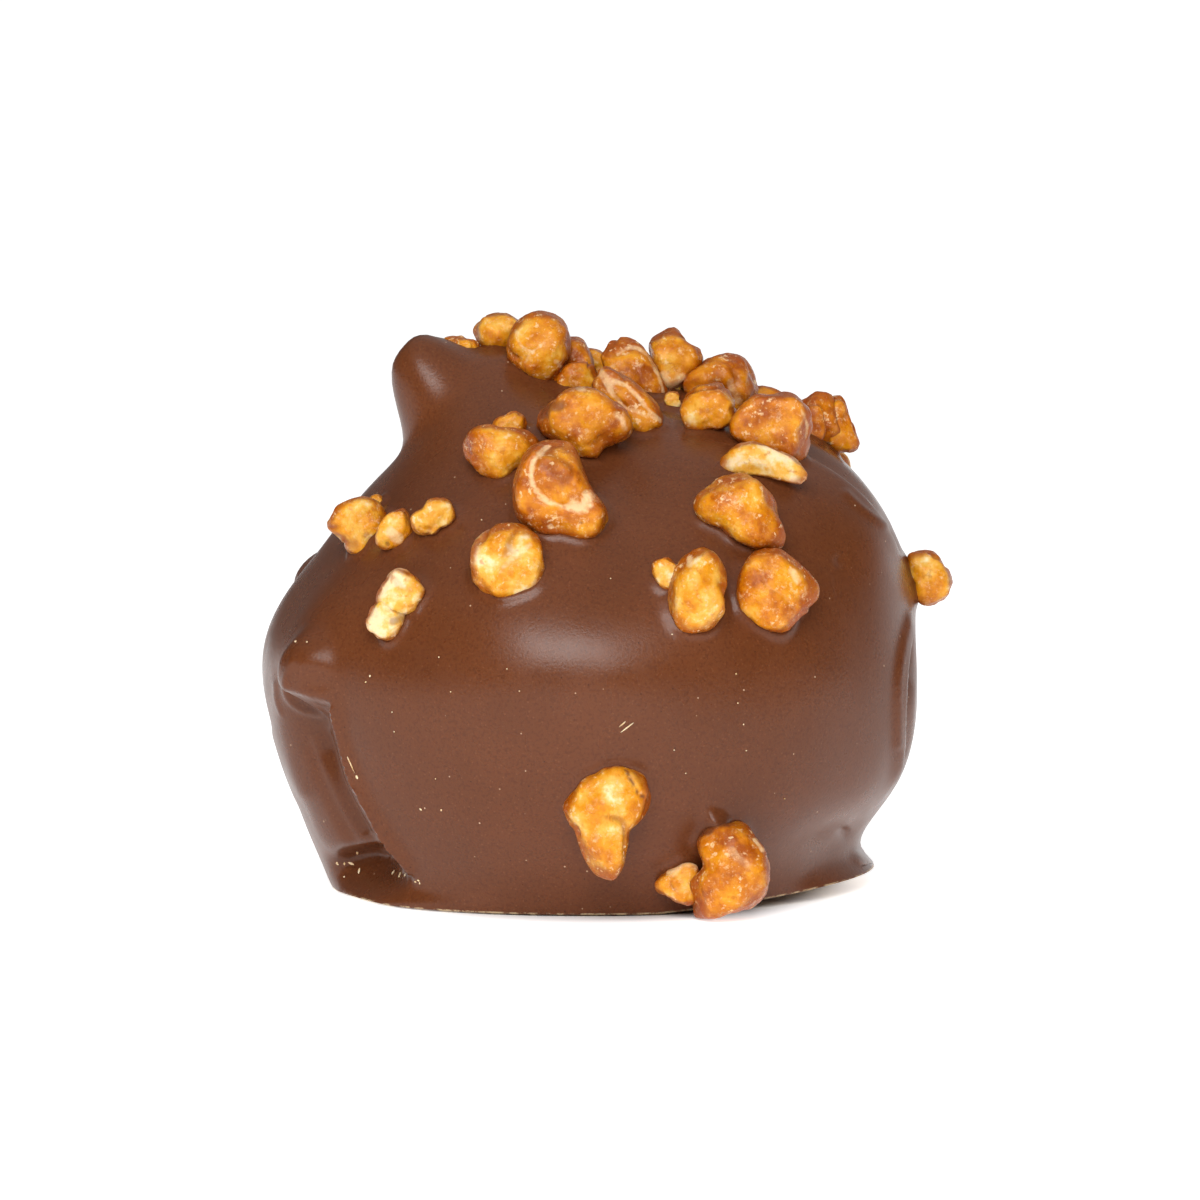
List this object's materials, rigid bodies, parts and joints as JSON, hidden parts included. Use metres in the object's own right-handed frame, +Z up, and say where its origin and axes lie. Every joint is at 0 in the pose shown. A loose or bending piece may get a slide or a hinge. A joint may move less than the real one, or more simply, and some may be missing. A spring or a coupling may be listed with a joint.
{
  "type": "hazelnut praline",
  "caption": "Round hand-dipped milk chocolate praline with a drawn-up point, a flat foot and caramelised hazelnut pieces strewn over the top.",
  "frame": {"origin": "middle of the flat foot, on the table", "axes": "+Z up; -Y is the front that the picture shows; +X is to the right of someone who looks at the front"},
  "size_m": [0.0345, 0.0343, 0.0288],
  "materials": {
    "milk_chocolate": "satin milk chocolate coat",
    "caramelised_hazelnut": "glazed golden-brown nut pieces with pale sugary patches",
    "pale_crumb": "cream-coloured nut flakes and sugar crumbs"
  },
  "bodies": {
    "root": {"hazelnut_praline": "milk_chocolate"}
  },
  "joints": []
}
